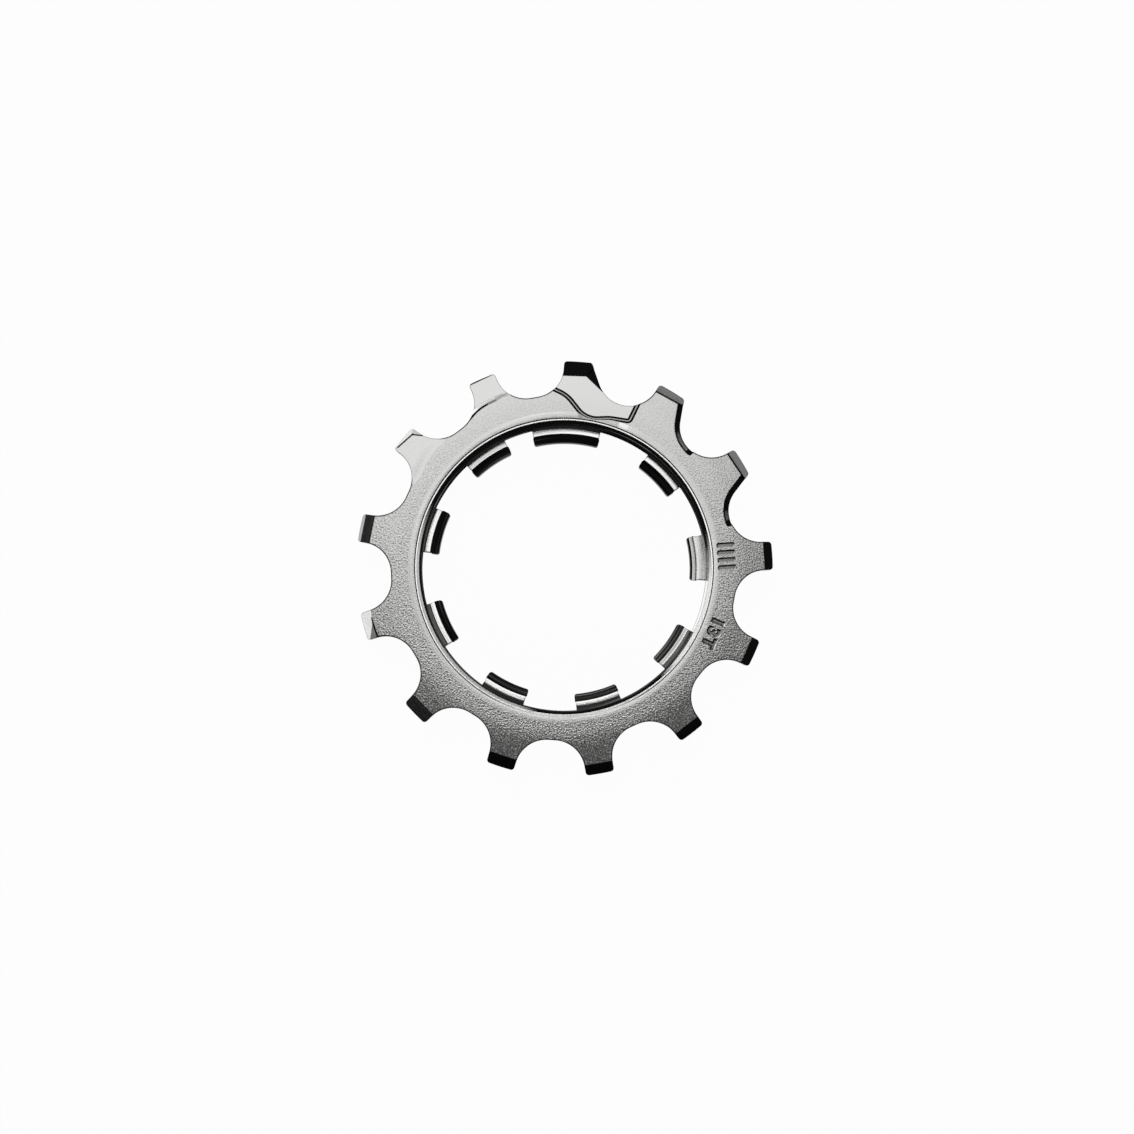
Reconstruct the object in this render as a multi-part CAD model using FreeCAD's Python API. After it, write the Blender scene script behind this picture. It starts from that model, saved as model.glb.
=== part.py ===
import FreeCAD, Part
import math
import os

from FreeCAD import Vector

# Thirteen-tooth cassette sprocket with its built-in spacer collar, one piece of steel.
# Millimetres. The axis of the bore is Z. The back face of the collar lies on z = 0 and the face
# with the shift cuts looks along +Z. Angles run clockwise from +Y as seen from the front, in
# degrees, and the widest spline tab is centred on +Y.

# Chain and teeth
tooth_count = 13
chain_pitch = 12.7
roller_diameter = 7.75
tip_diameter = 54.8
low_tip_diameter = 54.4
tip_corner_radius = 0.45
first_tooth_angle = 3.06
seat_radius = 4.1
seat_offset = 0.46
flank_taper = 0.6
slanted_flank_taper = 21.9
plate_edge_break = 0.12

# Plate and collar
plate_thickness = 1.8
collar_height = 3.0
bore_diameter = 38.0
collar_wall = 2.2
collar_root_bend = 0.6
web_diameter = 44.4
back_edge_chamfer = 0.3

# Front rim of the bore, where the collar was drawn out of the plate
draw_in_radius = 20.4
draw_in_depth = 0.1
rim_radius = 19.45
rim_bevel = 0.3
rim_step = 0.06

# Spline tabs
tab_count = 9
tab_half_angle = 9.2
tab_bulge_angle = 0.4
tab_bulge_run = 1.0
tab_phase = 4.9
wide_tab_extra_angle = 9.7
tab_end_radius = 16.85
tab_thickness = 1.7
tab_bevel_run = 1.15
tab_bevel_drop = 0.6
tab_corner_radius = 0.3
tab_root_fillet = 0.4

# Tip bevels: how far they reach in from the tip circle, and their slope. The bevels were turned
# on a circle whose centre stands off the axis, so they widen from one side to the other
bevel_run = 1.52
bevel_shift = 0.3
bevel_slope = 28.0
back_bevel_run = 1.1
back_bevel_slope = 25.0

# Long chamfers down the driving flanks of the two teeth after the ramp
flank_chamfer_width = 0.6
flank_chamfer_drop = 0.55
flank_chamfer_overrun = 8.0

# Shift ramp pressed round the first tooth
ramp_depth = 0.45
ramp_wall_run = 0.5

# Release step pressed across the tooth before the ramp, and the soft dish one tooth earlier
step_depth = 0.5
step_wall_run = 0.8
dish_depth = 0.16
dish_wall_run = 0.9

# Facets of the special teeth: tooth, depth of the face they start from, how far in from the tip
# circle and at what angle from the tooth's own a point on the facet's inner edge lies, the way
# the facet faces from there, its slope, and half the length of its edge
facets = (
    (0, ramp_depth, 2.13, 0.0, -2.0, 20.0, 3.0),
    (0, ramp_depth, 2.90, 5.4, 40.2, 28.0, 1.55),
    (1, 0.0, 1.28, 0.0, -2.6, 18.0, 4.0),
    (2, 0.0, 1.25, 0.1, -2.5, 18.0, 4.0),
    (9, 0.0, 1.49, 2.0, 10.7, 32.0, 4.0),
    (9, 0.0, 1.40, -1.7, -2.1, 19.0, 3.0),
    (11, dish_depth, 0.70, -0.1, 9.5, 40.0, 3.0),
    (11, dish_depth, 1.30, 3.0, 57.1, 26.0, 0.9),
    (12, step_depth, 0.55, 0.0, -1.9, 35.0, 3.0),
)

bore_radius = bore_diameter / 2
tip_radius = tip_diameter / 2
low_tip_radius = low_tip_diameter / 2
web_radius = web_diameter / 2
pitch_radius = chain_pitch / 2 / math.sin(math.pi / tooth_count)
root_radius = pitch_radius - roller_diameter / 2
seat_centre_radius = root_radius + seat_radius
tooth_step = 360.0 / tooth_count
front_z = collar_height + plate_thickness
working_box = 10.0

chamfered_teeth = (1, 2)
slanted_teeth = (0, 1, 2)
low_teeth = (1, 2, 11, 12)
facetted_teeth = {facet[0] for facet in facets}


def at(radius, angle, z=0.0, sideways=0.0):
    """Point at a radius and a clockwise angle from +Y, moved sideways clockwise."""
    a = math.radians(angle)
    x = radius * math.sin(a) + sideways * math.cos(a)
    y = radius * math.cos(a) - sideways * math.sin(a)
    return Vector(x, y, z)


def turned(shape, angle):
    """The shape turned clockwise about the axis, as seen from the front."""
    result = shape.copy()
    result.rotate(Vector(0, 0, 0), Vector(0, 0, 1), -angle)
    return result


def tooth_angle(tooth):
    return first_tooth_angle + tooth * tooth_step


def seat_centre(tooth, side):
    """Centre of the roller seat beside a tooth: side +1 is its clockwise side, -1 the other."""
    gap_angle = tooth_angle(tooth) + side * tooth_step / 2
    sideways = -side * seat_offset
    if side > 0 and tooth in slanted_teeth:
        sideways = seat_offset
    return at(seat_centre_radius, gap_angle, 0, sideways)


def tip_radius_of(tooth):
    return low_tip_radius if tooth in low_teeth else tip_radius


def taper_of(tooth, side):
    return slanted_flank_taper if side > 0 and tooth in slanted_teeth else flank_taper


def flank_foot(tooth, side):
    """Where the straight flank leaves the round roller seat, or the tip circle cuts it lower down."""
    centre = seat_centre(tooth, side)
    across = tooth_angle(tooth) - side * (90 + taper_of(tooth, side))
    foot = centre + at(seat_radius, across)
    tip = tip_radius_of(tooth)
    if foot.Length < tip:
        return foot
    reach = centre.Length
    spread = math.acos((tip ** 2 + reach ** 2 - seat_radius ** 2) / (2 * tip * reach))
    centre_angle = math.degrees(math.atan2(centre.x, centre.y))
    return at(tip, centre_angle - side * math.degrees(spread))


def flank_way(tooth, side):
    """Direction of the straight flank, leaning in by its taper."""
    return at(1.0, tooth_angle(tooth) - side * taper_of(tooth, side))


def tip_corner(tooth, side):
    """Where the flank meets the tip circle."""
    foot = flank_foot(tooth, side)
    along = flank_way(tooth, side)
    reach = foot.dot(along)
    return foot + along * (math.sqrt(reach ** 2 - foot.Length ** 2 + tip_radius_of(tooth) ** 2) - reach)


def arc_about(centre, radius, start, end):
    """The shorter arc about a centre from one point to another."""
    middle = (start + end) * 0.5 - centre
    middle = centre + middle.normalize() * radius
    return Part.Arc(start, middle, end).toShape()


def seat_bottom(tooth, side):
    centre = seat_centre(tooth, side)
    gap_angle = tooth_angle(tooth) + side * tooth_step / 2
    return centre - at(seat_radius, gap_angle)


def add_line(edges, start, end):
    """A straight edge, if its ends lie apart."""
    if start.distanceToPoint(end) > 1e-4:
        edges.append(Part.makeLine(start, end))


def toothed_outline():
    edges = []
    for tooth in range(tooth_count):
        following = (tooth + 1) % tooth_count
        left = tip_corner(tooth, -1)
        right = tip_corner(tooth, 1)
        crown = at(tip_radius_of(tooth), tooth_angle(tooth))
        edges.append(Part.Arc(left, crown, right).toShape())
        foot = flank_foot(tooth, 1)
        add_line(edges, right, foot)
        bottom = seat_bottom(tooth, 1)
        edges.append(arc_about(seat_centre(tooth, 1), seat_radius, foot, bottom))
        next_bottom = seat_bottom(following, -1)
        add_line(edges, bottom, next_bottom)
        next_foot = flank_foot(following, -1)
        next_seat = seat_centre(following, -1)
        edges.append(arc_about(next_seat, seat_radius, next_bottom, next_foot))
        add_line(edges, next_foot, tip_corner(following, -1))
    return Part.Wire(Part.__sortEdges__(edges))


def toothed_plate():
    """The outline through the plate, tip corners rounded in plan and its edges broken."""
    plate = Part.Face(toothed_outline()).extrude(Vector(0, 0, plate_thickness))
    tips = [tip_corner(tooth, side) for tooth in range(tooth_count) for side in (-1, 1)]
    corners = []
    for edge in plate.Edges:
        first = edge.Vertexes[0].Point
        last = edge.Vertexes[-1].Point
        upright = abs(first.z - last.z) > plate_thickness / 2
        if upright and min(math.hypot(first.x - tip.x, first.y - tip.y) for tip in tips) < 1e-4:
            corners.append(edge)
    plate = plate.makeFillet(tip_corner_radius, corners)
    rims = []
    for edge in plate.Edges:
        first = edge.Vertexes[0].Point
        last = edge.Vertexes[-1].Point
        if abs(first.z - last.z) < 1e-6:
            rims.append(edge)
    plate = plate.makeChamfer(plate_edge_break, rims)
    plate.translate(Vector(0, 0, collar_height))
    return plate


def ring():
    """Drawn-in rim, bore and back collar, turned as one section out into the web.

    The bend from the web into the collar is two narrow cones that follow its radius.
    """
    collar_radius = bore_radius + collar_wall
    rim_z = front_z - draw_in_depth
    lip_z = rim_z - rim_step
    bevel_foot = Vector(bore_radius, 0, lip_z - rim_bevel)
    bend_middle = collar_root_bend * (1 - math.sqrt(0.5))
    path = [
        Vector(collar_radius + collar_root_bend, 0, collar_height),
        Vector(collar_radius + bend_middle, 0, collar_height - bend_middle),
        Vector(collar_radius, 0, collar_height - collar_root_bend),
        Vector(collar_radius, 0, back_edge_chamfer),
        Vector(collar_radius - back_edge_chamfer, 0, 0),
        Vector(bore_radius + back_edge_chamfer, 0, 0),
        Vector(bore_radius, 0, back_edge_chamfer),
        bevel_foot,
        Vector(bore_radius + rim_bevel, 0, lip_z),
        Vector(rim_radius, 0, lip_z),
        Vector(rim_radius, 0, rim_z),
        Vector(draw_in_radius, 0, front_z),
        Vector(web_radius, 0, front_z),
        Vector(web_radius, 0, collar_height),
    ]
    face = Part.Face(Part.makePolygon(path + path[:1]))
    return face.revolve(Vector(0, 0, 0), Vector(0, 0, 1), 360)


def tab_sector(half_angle, inner_radius, outer_radius, blended):
    """Sector of a tab's section about +Y, its inner corners rounded in plan."""
    bevel_z = tab_thickness - tab_bevel_drop
    fillet_start = Vector(bore_radius - tab_root_fillet, 0, tab_thickness)
    fillet_end = Vector(bore_radius, 0, tab_thickness + tab_root_fillet)
    fillet_centre = Vector(fillet_start.x, 0, fillet_end.z)
    edges = []
    if blended:
        edges.append(arc_about(fillet_centre, tab_root_fillet, fillet_start, fillet_end))
        path = [fillet_end, Vector(outer_radius, 0, fillet_end.z), Vector(outer_radius, 0, 0)]
        bevel_end = [Vector(inner_radius + tab_bevel_run, 0, tab_thickness), fillet_start]
    else:
        share = (outer_radius - inner_radius) / tab_bevel_run
        bevel_end = [Vector(outer_radius, 0, bevel_z + share * tab_bevel_drop)]
        path = [bevel_end[-1], Vector(outer_radius, 0, 0)]
    path += [Vector(inner_radius, 0, 0), Vector(inner_radius, 0, bevel_z)] + bevel_end
    edges += [Part.makeLine(a, b) for a, b in zip(path, path[1:])]
    face = Part.Face(Part.Wire(Part.__sortEdges__(edges)))
    solid = face.revolve(Vector(0, 0, 0), Vector(0, 0, 1), 2 * half_angle)
    ends = []
    for edge in solid.Edges:
        first = edge.Vertexes[0].Point
        last = edge.Vertexes[-1].Point
        upright = math.hypot(first.x - last.x, first.y - last.y) < 1e-3
        if upright and math.hypot(first.x, first.y) < inner_radius + 1e-3:
            ends.append(edge)
    solid = solid.makeFillet(tab_corner_radius, ends)
    # The section starts on +X, so the sector's middle is half its angle from there
    solid.rotate(Vector(0, 0, 0), Vector(0, 0, 1), 90 - half_angle)
    return solid


def tab(centre_angle, half_angle):
    """One spline tab, flush with the back: coining its end down made that end bulge sideways."""
    root = bore_radius + collar_wall / 2
    body = tab_sector(half_angle, tab_end_radius, root, True)
    bulge_outer = tab_end_radius + tab_bulge_run
    bulge = tab_sector(half_angle + tab_bulge_angle, tab_end_radius, bulge_outer, False)
    return turned(body.fuse(bulge).removeSplitter(), centre_angle)


def spline_tabs():
    tabs = []
    for index in range(1, tab_count):
        tabs.append(tab(tab_phase + index * 360.0 / tab_count, tab_half_angle))
    wide_half = tab_half_angle + wide_tab_extra_angle / 2
    tabs.append(tab(tab_phase - wide_tab_extra_angle / 2, wide_half))
    return tabs


def slope_cut(radius, angle, heading, slope, base_z=front_z, half_width=working_box / 2):
    """Block over a plane that falls away outward from a straight line on the face.

    The line passes through the point at the radius and angle; the heading is the clockwise
    angle of the way down.
    """
    block = Part.makeBox(2 * half_width, working_box, working_box)
    block.translate(Vector(-half_width, 0, 0))
    block.rotate(Vector(0, 0, 0), Vector(1, 0, 0), -slope)
    block.rotate(Vector(0, 0, 0), Vector(0, 0, 1), -heading)
    block.translate(at(radius, angle, base_z))
    return block


def back_slope_cut(base_radius, base_angle, slope):
    """The same kind of block under the plate."""
    block = Part.makeBox(working_box, working_box, working_box)
    block.translate(Vector(-working_box / 2, 0, -working_box))
    block.rotate(Vector(0, 0, 0), Vector(1, 0, 0), slope)
    block.rotate(Vector(0, 0, 0), Vector(0, 0, 1), -base_angle)
    block.translate(at(base_radius, base_angle, collar_height))
    return block


def pocket(points, depth, wall_run, round_radius):
    """Shallow pressed area: a flat floor and a sloping wall along its boundary.

    The points bound the area on the front face; corners are rounded, and the wall's foot is
    the boundary drawn in by its run.
    """
    boundary = rounded_wire(points, round_radius)
    floor = boundary.makeOffset2D(-wall_run, 0, False, False, False)
    floor.translate(Vector(0, 0, front_z - depth))
    boundary.translate(Vector(0, 0, front_z))
    sloped = Part.makeLoft([floor, boundary], True, True)
    above = Part.Face(boundary).extrude(Vector(0, 0, plate_thickness))
    return sloped.fuse(above)


def rounded_wire(points, radius):
    """Closed wire through the points with an arc of the given radius at every corner."""
    edges = []
    ends = []
    count = len(points)
    for index in range(count):
        before = points[index - 1]
        corner = points[index]
        after = points[(index + 1) % count]
        into = (before - corner).normalize()
        out = (after - corner).normalize()
        half = into.getAngle(out) / 2
        run = radius / math.tan(half)
        start = corner + into * run
        end = corner + out * run
        bisector = (into + out).normalize()
        centre = corner + bisector * (radius / math.sin(half))
        middle = centre - bisector * radius
        edges.append(Part.Arc(start, middle, end).toShape())
        ends.append((start, end))
    for index in range(count):
        edges.append(Part.makeLine(ends[index - 1][1], ends[index][0]))
    return Part.Wire(Part.__sortEdges__(edges))


def ramp_pocket():
    """Shift ramp: the first tooth and the valley after it, pressed below the face."""
    middle = tooth_angle(0)
    points = [
        at(24.0, middle - 10.6),
        at(22.45, middle - 4.1),
        at(19.55, middle + 4.9),
        at(20.3, middle + 14.4),
        at(20.75, middle + 21.3),
        at(25.5, middle + 21.4),
        at(27.5, middle + 13.9),
        at(32.0, middle + 8.9),
        at(32.0, middle - 7.1),
        at(26.0, middle - 11.1),
    ]
    return pocket(points, ramp_depth, ramp_wall_run, 0.8)


def step_pocket():
    """Release step: the last tooth pressed back behind a broad sloping wall."""
    middle = tooth_angle(-1)
    points = [
        at(22.0, middle - 14.9),
        at(23.5, middle - 3.4),
        at(23.6, middle + 2.6),
        at(23.5, middle + 9.1),
        at(31.0, middle + 9.1),
        at(31.0, middle - 10.4),
    ]
    return pocket(points, step_depth, step_wall_run, 1.4)


def dish_pocket():
    """Soft shallow dish over the tooth before the release step."""
    middle = tooth_angle(-2)
    points = [
        at(22.4, middle - 10.7),
        at(22.9, middle - 1.7),
        at(23.2, middle + 4.3),
        at(22.7, middle + 9.8),
        at(31.0, middle + 9.8),
        at(31.0, middle - 10.7),
    ]
    return pocket(points, dish_depth, dish_wall_run, 1.2)


def flank_chamfer(tooth):
    """Chamfer down the clockwise flank, round the seat and just past the valley bottom."""
    centre = seat_centre(tooth, 1)
    foot = flank_foot(tooth, 1)
    corner = tip_corner(tooth, 1)
    cone = Part.makeCone(seat_radius - flank_chamfer_width, seat_radius + 2 * flank_chamfer_width,
                         3 * flank_chamfer_drop)
    cone.translate(centre + Vector(0, 0, front_z - 2 * flank_chamfer_drop))
    # A sector from the flank's foot to just past the valley bottom keeps the far flank whole
    foot_way = foot - centre
    bottom_way = seat_bottom(tooth, 1) - centre
    sweep = math.degrees(foot_way.getAngle(bottom_way)) + flank_chamfer_overrun
    sector = Part.makeCylinder(2 * seat_radius, working_box, Vector(0, 0, 0), Vector(0, 0, 1), sweep)
    start = math.degrees(math.atan2(foot_way.y, foot_way.x))
    sector.rotate(Vector(0, 0, 0), Vector(0, 0, 1), start)
    sector.translate(centre + Vector(0, 0, collar_height))
    curved = cone.common(sector)
    # The straight stretch above the foot
    along = flank_way(tooth, 1)
    straight = foot.distanceToPoint(corner)
    slope = math.degrees(math.atan2(flank_chamfer_drop, flank_chamfer_width))
    block = Part.makeBox(working_box, straight + tip_corner_radius, working_box)
    block.rotate(Vector(0, 0, 0), Vector(0, 1, 0), slope)
    heading = math.degrees(math.atan2(along.y, along.x)) - 90
    block.rotate(Vector(0, 0, 0), Vector(0, 0, 1), heading)
    inward = (foot - centre).normalize() * flank_chamfer_width
    block.translate(foot + inward + Vector(0, 0, front_z))
    return [curved, block]


def tip_cuts():
    """Bevels of the plain teeth, front and back, and the facets of the special ones."""
    cuts = []
    for tooth in range(tooth_count):
        angle = tooth_angle(tooth)
        cuts.append(back_slope_cut(tip_radius - back_bevel_run, angle, back_bevel_slope))
        if tooth not in facetted_teeth:
            start = tip_radius - bevel_run + bevel_shift * math.sin(math.radians(angle))
            cuts.append(slope_cut(start, angle, angle, bevel_slope))
    for tooth, depth, inset, angle, heading, slope, half_edge in facets:
        middle = tooth_angle(tooth)
        start = tip_radius - inset
        cuts.append(slope_cut(start, middle + angle, middle + heading, slope, front_z - depth, half_edge))
    return cuts


def sprocket():
    hub_space = Part.makeCylinder(web_radius, front_z)
    body = toothed_plate().cut(hub_space).fuse(ring())
    for piece in spline_tabs():
        body = body.fuse(piece)
    body = body.removeSplitter()
    cuts = [ramp_pocket(), step_pocket(), dish_pocket()] + tip_cuts()
    for tooth in chamfered_teeth:
        cuts += flank_chamfer(tooth)
    for cut in cuts:
        body = body.cut(cut)
    return body.removeSplitter()


def main():
    shape = sprocket()
    print("valid", shape.isValid(), "solids", len(shape.Solids), "faces", len(shape.Faces))
    print("volume", round(shape.Volume, 2), "area", round(shape.Area, 2))
    box = shape.BoundBox
    print("box", [round(v, 3) for v in (box.XMin, box.YMin, box.ZMin, box.XMax, box.YMax, box.ZMax)])
    os.makedirs("parts", exist_ok=True)
    shape.Solids[0].exportStep("parts/sprocket.step")


main()
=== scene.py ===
# %% [markdown]
# This lesson dresses a small bicycle sprocket. The real one starts as a strip of steel: a press
# cuts the toothed outline, draws the middle down into a short collar, pierces the bore with nine
# tabs, presses two shallow areas into the front and coins a bevel on every tooth. Then it is
# tumbled and nickel plated. The packed part is loaded first.

# %% Load the part that the looks are built round
from math import acos, atan2, cos, degrees, pi, radians, sin, sqrt, tan

import bmesh
import bpy
from mathutils import Matrix, Vector


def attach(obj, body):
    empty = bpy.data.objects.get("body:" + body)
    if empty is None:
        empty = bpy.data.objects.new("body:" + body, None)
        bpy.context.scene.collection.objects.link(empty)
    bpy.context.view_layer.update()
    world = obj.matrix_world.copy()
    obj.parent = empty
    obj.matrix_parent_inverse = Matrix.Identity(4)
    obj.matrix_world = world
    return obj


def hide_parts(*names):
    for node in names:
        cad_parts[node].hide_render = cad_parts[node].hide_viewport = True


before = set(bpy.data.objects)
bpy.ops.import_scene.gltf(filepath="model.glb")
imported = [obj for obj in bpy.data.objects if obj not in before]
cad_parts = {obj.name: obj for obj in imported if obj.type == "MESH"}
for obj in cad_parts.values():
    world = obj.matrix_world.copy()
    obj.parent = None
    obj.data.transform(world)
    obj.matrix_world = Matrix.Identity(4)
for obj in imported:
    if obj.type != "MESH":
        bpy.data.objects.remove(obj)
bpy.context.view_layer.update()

# %% [markdown]
# The sizes are the packed part's own, so the dressed piece lands on it without fitting. All is
# shaped in millimetres, where Blender's booleans are more exact, and brought to metres once.
# Angles run clockwise from +Y, seen from the front.

# %% Sizes of the sprocket
METRES_PER_MM = 0.001

teeth = 13
chain_pitch = 12.7
roller_diameter = 7.75
tip_radius = 27.4
low_tip_radius = 27.2
tip_corner = 0.45
first_tooth = 3.06
seat_radius = 4.1
seat_offset = 0.46
flank_taper = 0.6
slanted_taper = 21.9
slanted_teeth = 3
edge_break = 0.12

plate_thickness = 1.8
collar_height = 3.0
front_z = collar_height + plate_thickness
bore_radius = 19.0
collar_radius = 21.2
collar_bend = 0.6
back_chamfer = 0.3
draw_in_radius = 20.4
draw_in_depth = 0.1
rim_radius = 19.6
rim_step = 0.06
rim_step_run = 0.12
rim_bevel = 0.3

tabs = 9
tab_phase = 4.9
tab_half_angle = 9.2
wide_tab_extra = 9.7
tab_end_radius = 16.85
tab_thickness = 1.7
tab_bevel_run = 1.15
tab_bevel_drop = 0.6
tab_coining = 2.0
tab_corner = 0.3
tab_root_round = 0.25
tab_crown = 0.012
tab_bulge_run = 1.0
tab_bulge_angle = 0.4

tooth_step = 360.0 / teeth
pitch_radius = chain_pitch / 2 / sin(pi / teeth)
root_radius = pitch_radius - roller_diameter / 2
print("pitch radius %.3f, root radius %.3f" % (pitch_radius, root_radius))

# %% [markdown]
# Node trees read best as sums. A small class wraps an output socket and gives it Python's
# operators, each of which adds one Math node; every other node comes from one method. The same two
# classes fill the geometry trees and the shader of the steel.

# %% Wires and trees
def operator(operation, swapped=False):
    """An operator that adds a Math node; swapped, with a plain number on its left."""
    def apply(self, other):
        return self.tree.sum(operation, *((other, self) if swapped else (self, other)))
    return apply


class Wire:
    """A node's output that takes part in sums."""

    def __init__(self, tree, socket):
        self.tree = tree
        self.socket = socket

    def math(self, operation, *others):
        return self.tree.sum(operation, self, *others)

    def between(self, low, high):
        return self.math("MAXIMUM", low).math("MINIMUM", high)

    def outlet(self, name):
            return Wire(self.tree, self.socket.node.outputs[name])

    __add__ = operator("ADD")
    __radd__ = operator("ADD", True)
    __sub__ = operator("SUBTRACT")
    __rsub__ = operator("SUBTRACT", True)
    __mul__ = operator("MULTIPLY")
    __rmul__ = operator("MULTIPLY", True)
    __truediv__ = operator("DIVIDE")
    __rtruediv__ = operator("DIVIDE", True)
    __gt__ = operator("GREATER_THAN")
    __lt__ = operator("LESS_THAN")


class Tree:
    """A node tree that is filled by calls; its family is how the types of its nodes begin."""

    def __init__(self, nodes, family="ShaderNode"):
        self.nodes = nodes
        self.family = family

    def node(self, kind, inputs=None, output=0, family=None, **settings):
        made = self.nodes.nodes.new((family or self.family) + kind)
        for name, value in settings.items():
            setattr(made, name, value)
        for key, value in (inputs or {}).items():
            if isinstance(value, Wire):
                self.nodes.links.new(value.socket, made.inputs[key])
            else:
                made.inputs[key].default_value = value
        return Wire(self, made.outputs[output]) if len(made.outputs) else None

    def sum(self, operation, *values):
        return self.node("Math", dict(enumerate(values)), 0, "ShaderNode", operation=operation)

    def vector(self, x, y, z):
        return self.node("CombineXYZ", {0: x, 1: y, 2: z}, 0, "ShaderNode")

    def vectors(self, operation, one, other, output=0):
        return self.node("VectorMath", {0: one, 1: other}, output, "ShaderNode", operation=operation)


def cleared_tree(owner):
    owner.use_nodes = True
    owner.node_tree.nodes.clear()
    return Tree(owner.node_tree)


print("what a wire can do:", sorted(vars(Wire)))

# %% [markdown]
# A geometry tree has named inputs, so that a size can be changed without reading the sums. One
# helper makes the tree, a second ends it with Realize Instances and Set Material, and a third runs
# it once and keeps a plain mesh. Each tool that cuts the steel has a marker material of its own:
# the booleans hand it on to the faces that the tool leaves, which become the zones of the one
# finish at the end.

# %% Helpers for geometry trees
SOCKET_TYPES = {int: "NodeSocketInt", float: "NodeSocketFloat", bpy.types.Object: "NodeSocketObject"}
MERGE_DISTANCE = 1e-5


def geometry_tree(name, sizes):
    nodes = bpy.data.node_groups.new(name, "GeometryNodeTree")
    for label, value in sizes.items():
        nodes.interface.new_socket(label, in_out="INPUT", socket_type=SOCKET_TYPES[type(value)])
    nodes.interface.new_socket("Geometry", in_out="OUTPUT", socket_type="NodeSocketGeometry")
    tree = Tree(nodes, "GeometryNode")
    source = nodes.nodes.new("NodeGroupInput")
    return tree, {label: Wire(tree, source.outputs[label]) for label in sizes}


def end_tree(tree, geometry, material):
    real = tree.node("RealizeInstances", {0: geometry})
    painted = tree.node("SetMaterial", {0: real, "Material": material})
    out = tree.nodes.nodes.new("NodeGroupOutput")
    tree.nodes.links.new(painted.socket, out.inputs["Geometry"])


def new_object(name, mesh):
    made = bpy.data.objects.new(name, mesh)
    bpy.context.scene.collection.objects.link(made)
    return made


def shown_mesh(thing):
    depsgraph = bpy.context.evaluated_depsgraph_get()
    return bpy.data.meshes.new_from_object(thing.evaluated_get(depsgraph), depsgraph=depsgraph)


def settle(thing):
    """Keep what an object's modifiers make as its plain mesh."""
    mesh = shown_mesh(thing)
    thing.modifiers.clear()
    thing.data = mesh
    return thing


def outward(thing):
    """Merge doubled points and turn every face outward."""
    work = bmesh.new()
    work.from_mesh(thing.data)
    bmesh.ops.remove_doubles(work, verts=work.verts, dist=MERGE_DISTANCE)
    bmesh.ops.recalc_face_normals(work, faces=work.faces)
    work.to_mesh(thing.data)
    open_edges = sum(1 for edge in work.edges if len(edge.link_faces) != 2)
    measures = (thing.name, len(work.faces), open_edges, work.calc_volume())
    print("%s: %d faces, %d open edges, %.2f mm3" % measures)
    work.free()
    return thing


def grown(name, tree, sizes):
    carrier = new_object(name, bpy.data.meshes.new(name))
    modifier = carrier.modifiers.new(name, "NODES")
    modifier.node_group = tree.nodes
    for item in tree.nodes.interface.items_tree:
        if item.in_out == "INPUT":
            modifier[item.identifier] = sizes[item.name]
    return outward(settle(carrier))


def marker(name):
    return bpy.data.materials.get(name) or bpy.data.materials.new(name)


# %% [markdown]
# The toothed plate is the main piece, and its outline follows a rule, so it is a geometry tree.
# Five corners describe a tooth: where its valley starts, the left tip corner, the crown, the right
# tip corner, and where the next valley starts. Rounded by the right radii they give the outline: a
# roller seat is just a valley corner rounded by the seat's radius. Three teeth lean back on their
# driving side, and two on either side of the first are a little lower. A corner's number in its
# tooth is its role; roles are whole numbers, so they are compared with the halves between them.

# %% Corners of a tooth
CORNERS_PER_TOOTH = 5
TIP_CORNER_POINTS = 6
CROWN_POINTS = 3


def local_corner(size, low, slanted, role):
    """Across and up from the tooth's own foot: where its flank meets the tip or the valley."""
    seat, root = size["Seat radius"], size["Root radius"]
    taper = (size["Flank taper"] + slanted * (size["Slanted taper"] - size["Flank taper"])).math("RADIANS")
    offset = size["Seat offset"] * (2 * slanted - 1)
    half_gap = pi / size["Teeth"]
    gap_x = half_gap.math("SINE")
    gap_y = half_gap.math("COSINE")
    foot_x = (root + seat) * gap_x + offset * gap_y - seat * taper.math("COSINE")
    foot_y = (root + seat) * gap_y - offset * gap_x - seat * taper.math("SINE")
    along_x = 0 - taper.math("SINE")
    along_y = taper.math("COSINE")
    reach = foot_x * along_x + foot_y * along_y
    tip = size["Tip radius"] - low * (size["Tip radius"] - size["Low tip radius"])
    to_tip = (reach * reach - foot_x * foot_x - foot_y * foot_y + tip * tip).math("SQRT") - reach
    to_root = (root - foot_x * gap_x - foot_y * gap_y) / (along_x * gap_x + along_y * gap_y)
    at_tip = (role > 0.5) * (role < 3.5)
    run = at_tip * to_tip + (1 - at_tip) * to_root
    crown = (role > 1.5) * (role < 2.5)
    across = (1 - crown) * (foot_x + along_x * run)
    up = (1 - crown) * (foot_y + along_y * run) + crown * tip
    return across, up, at_tip, crown


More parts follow.
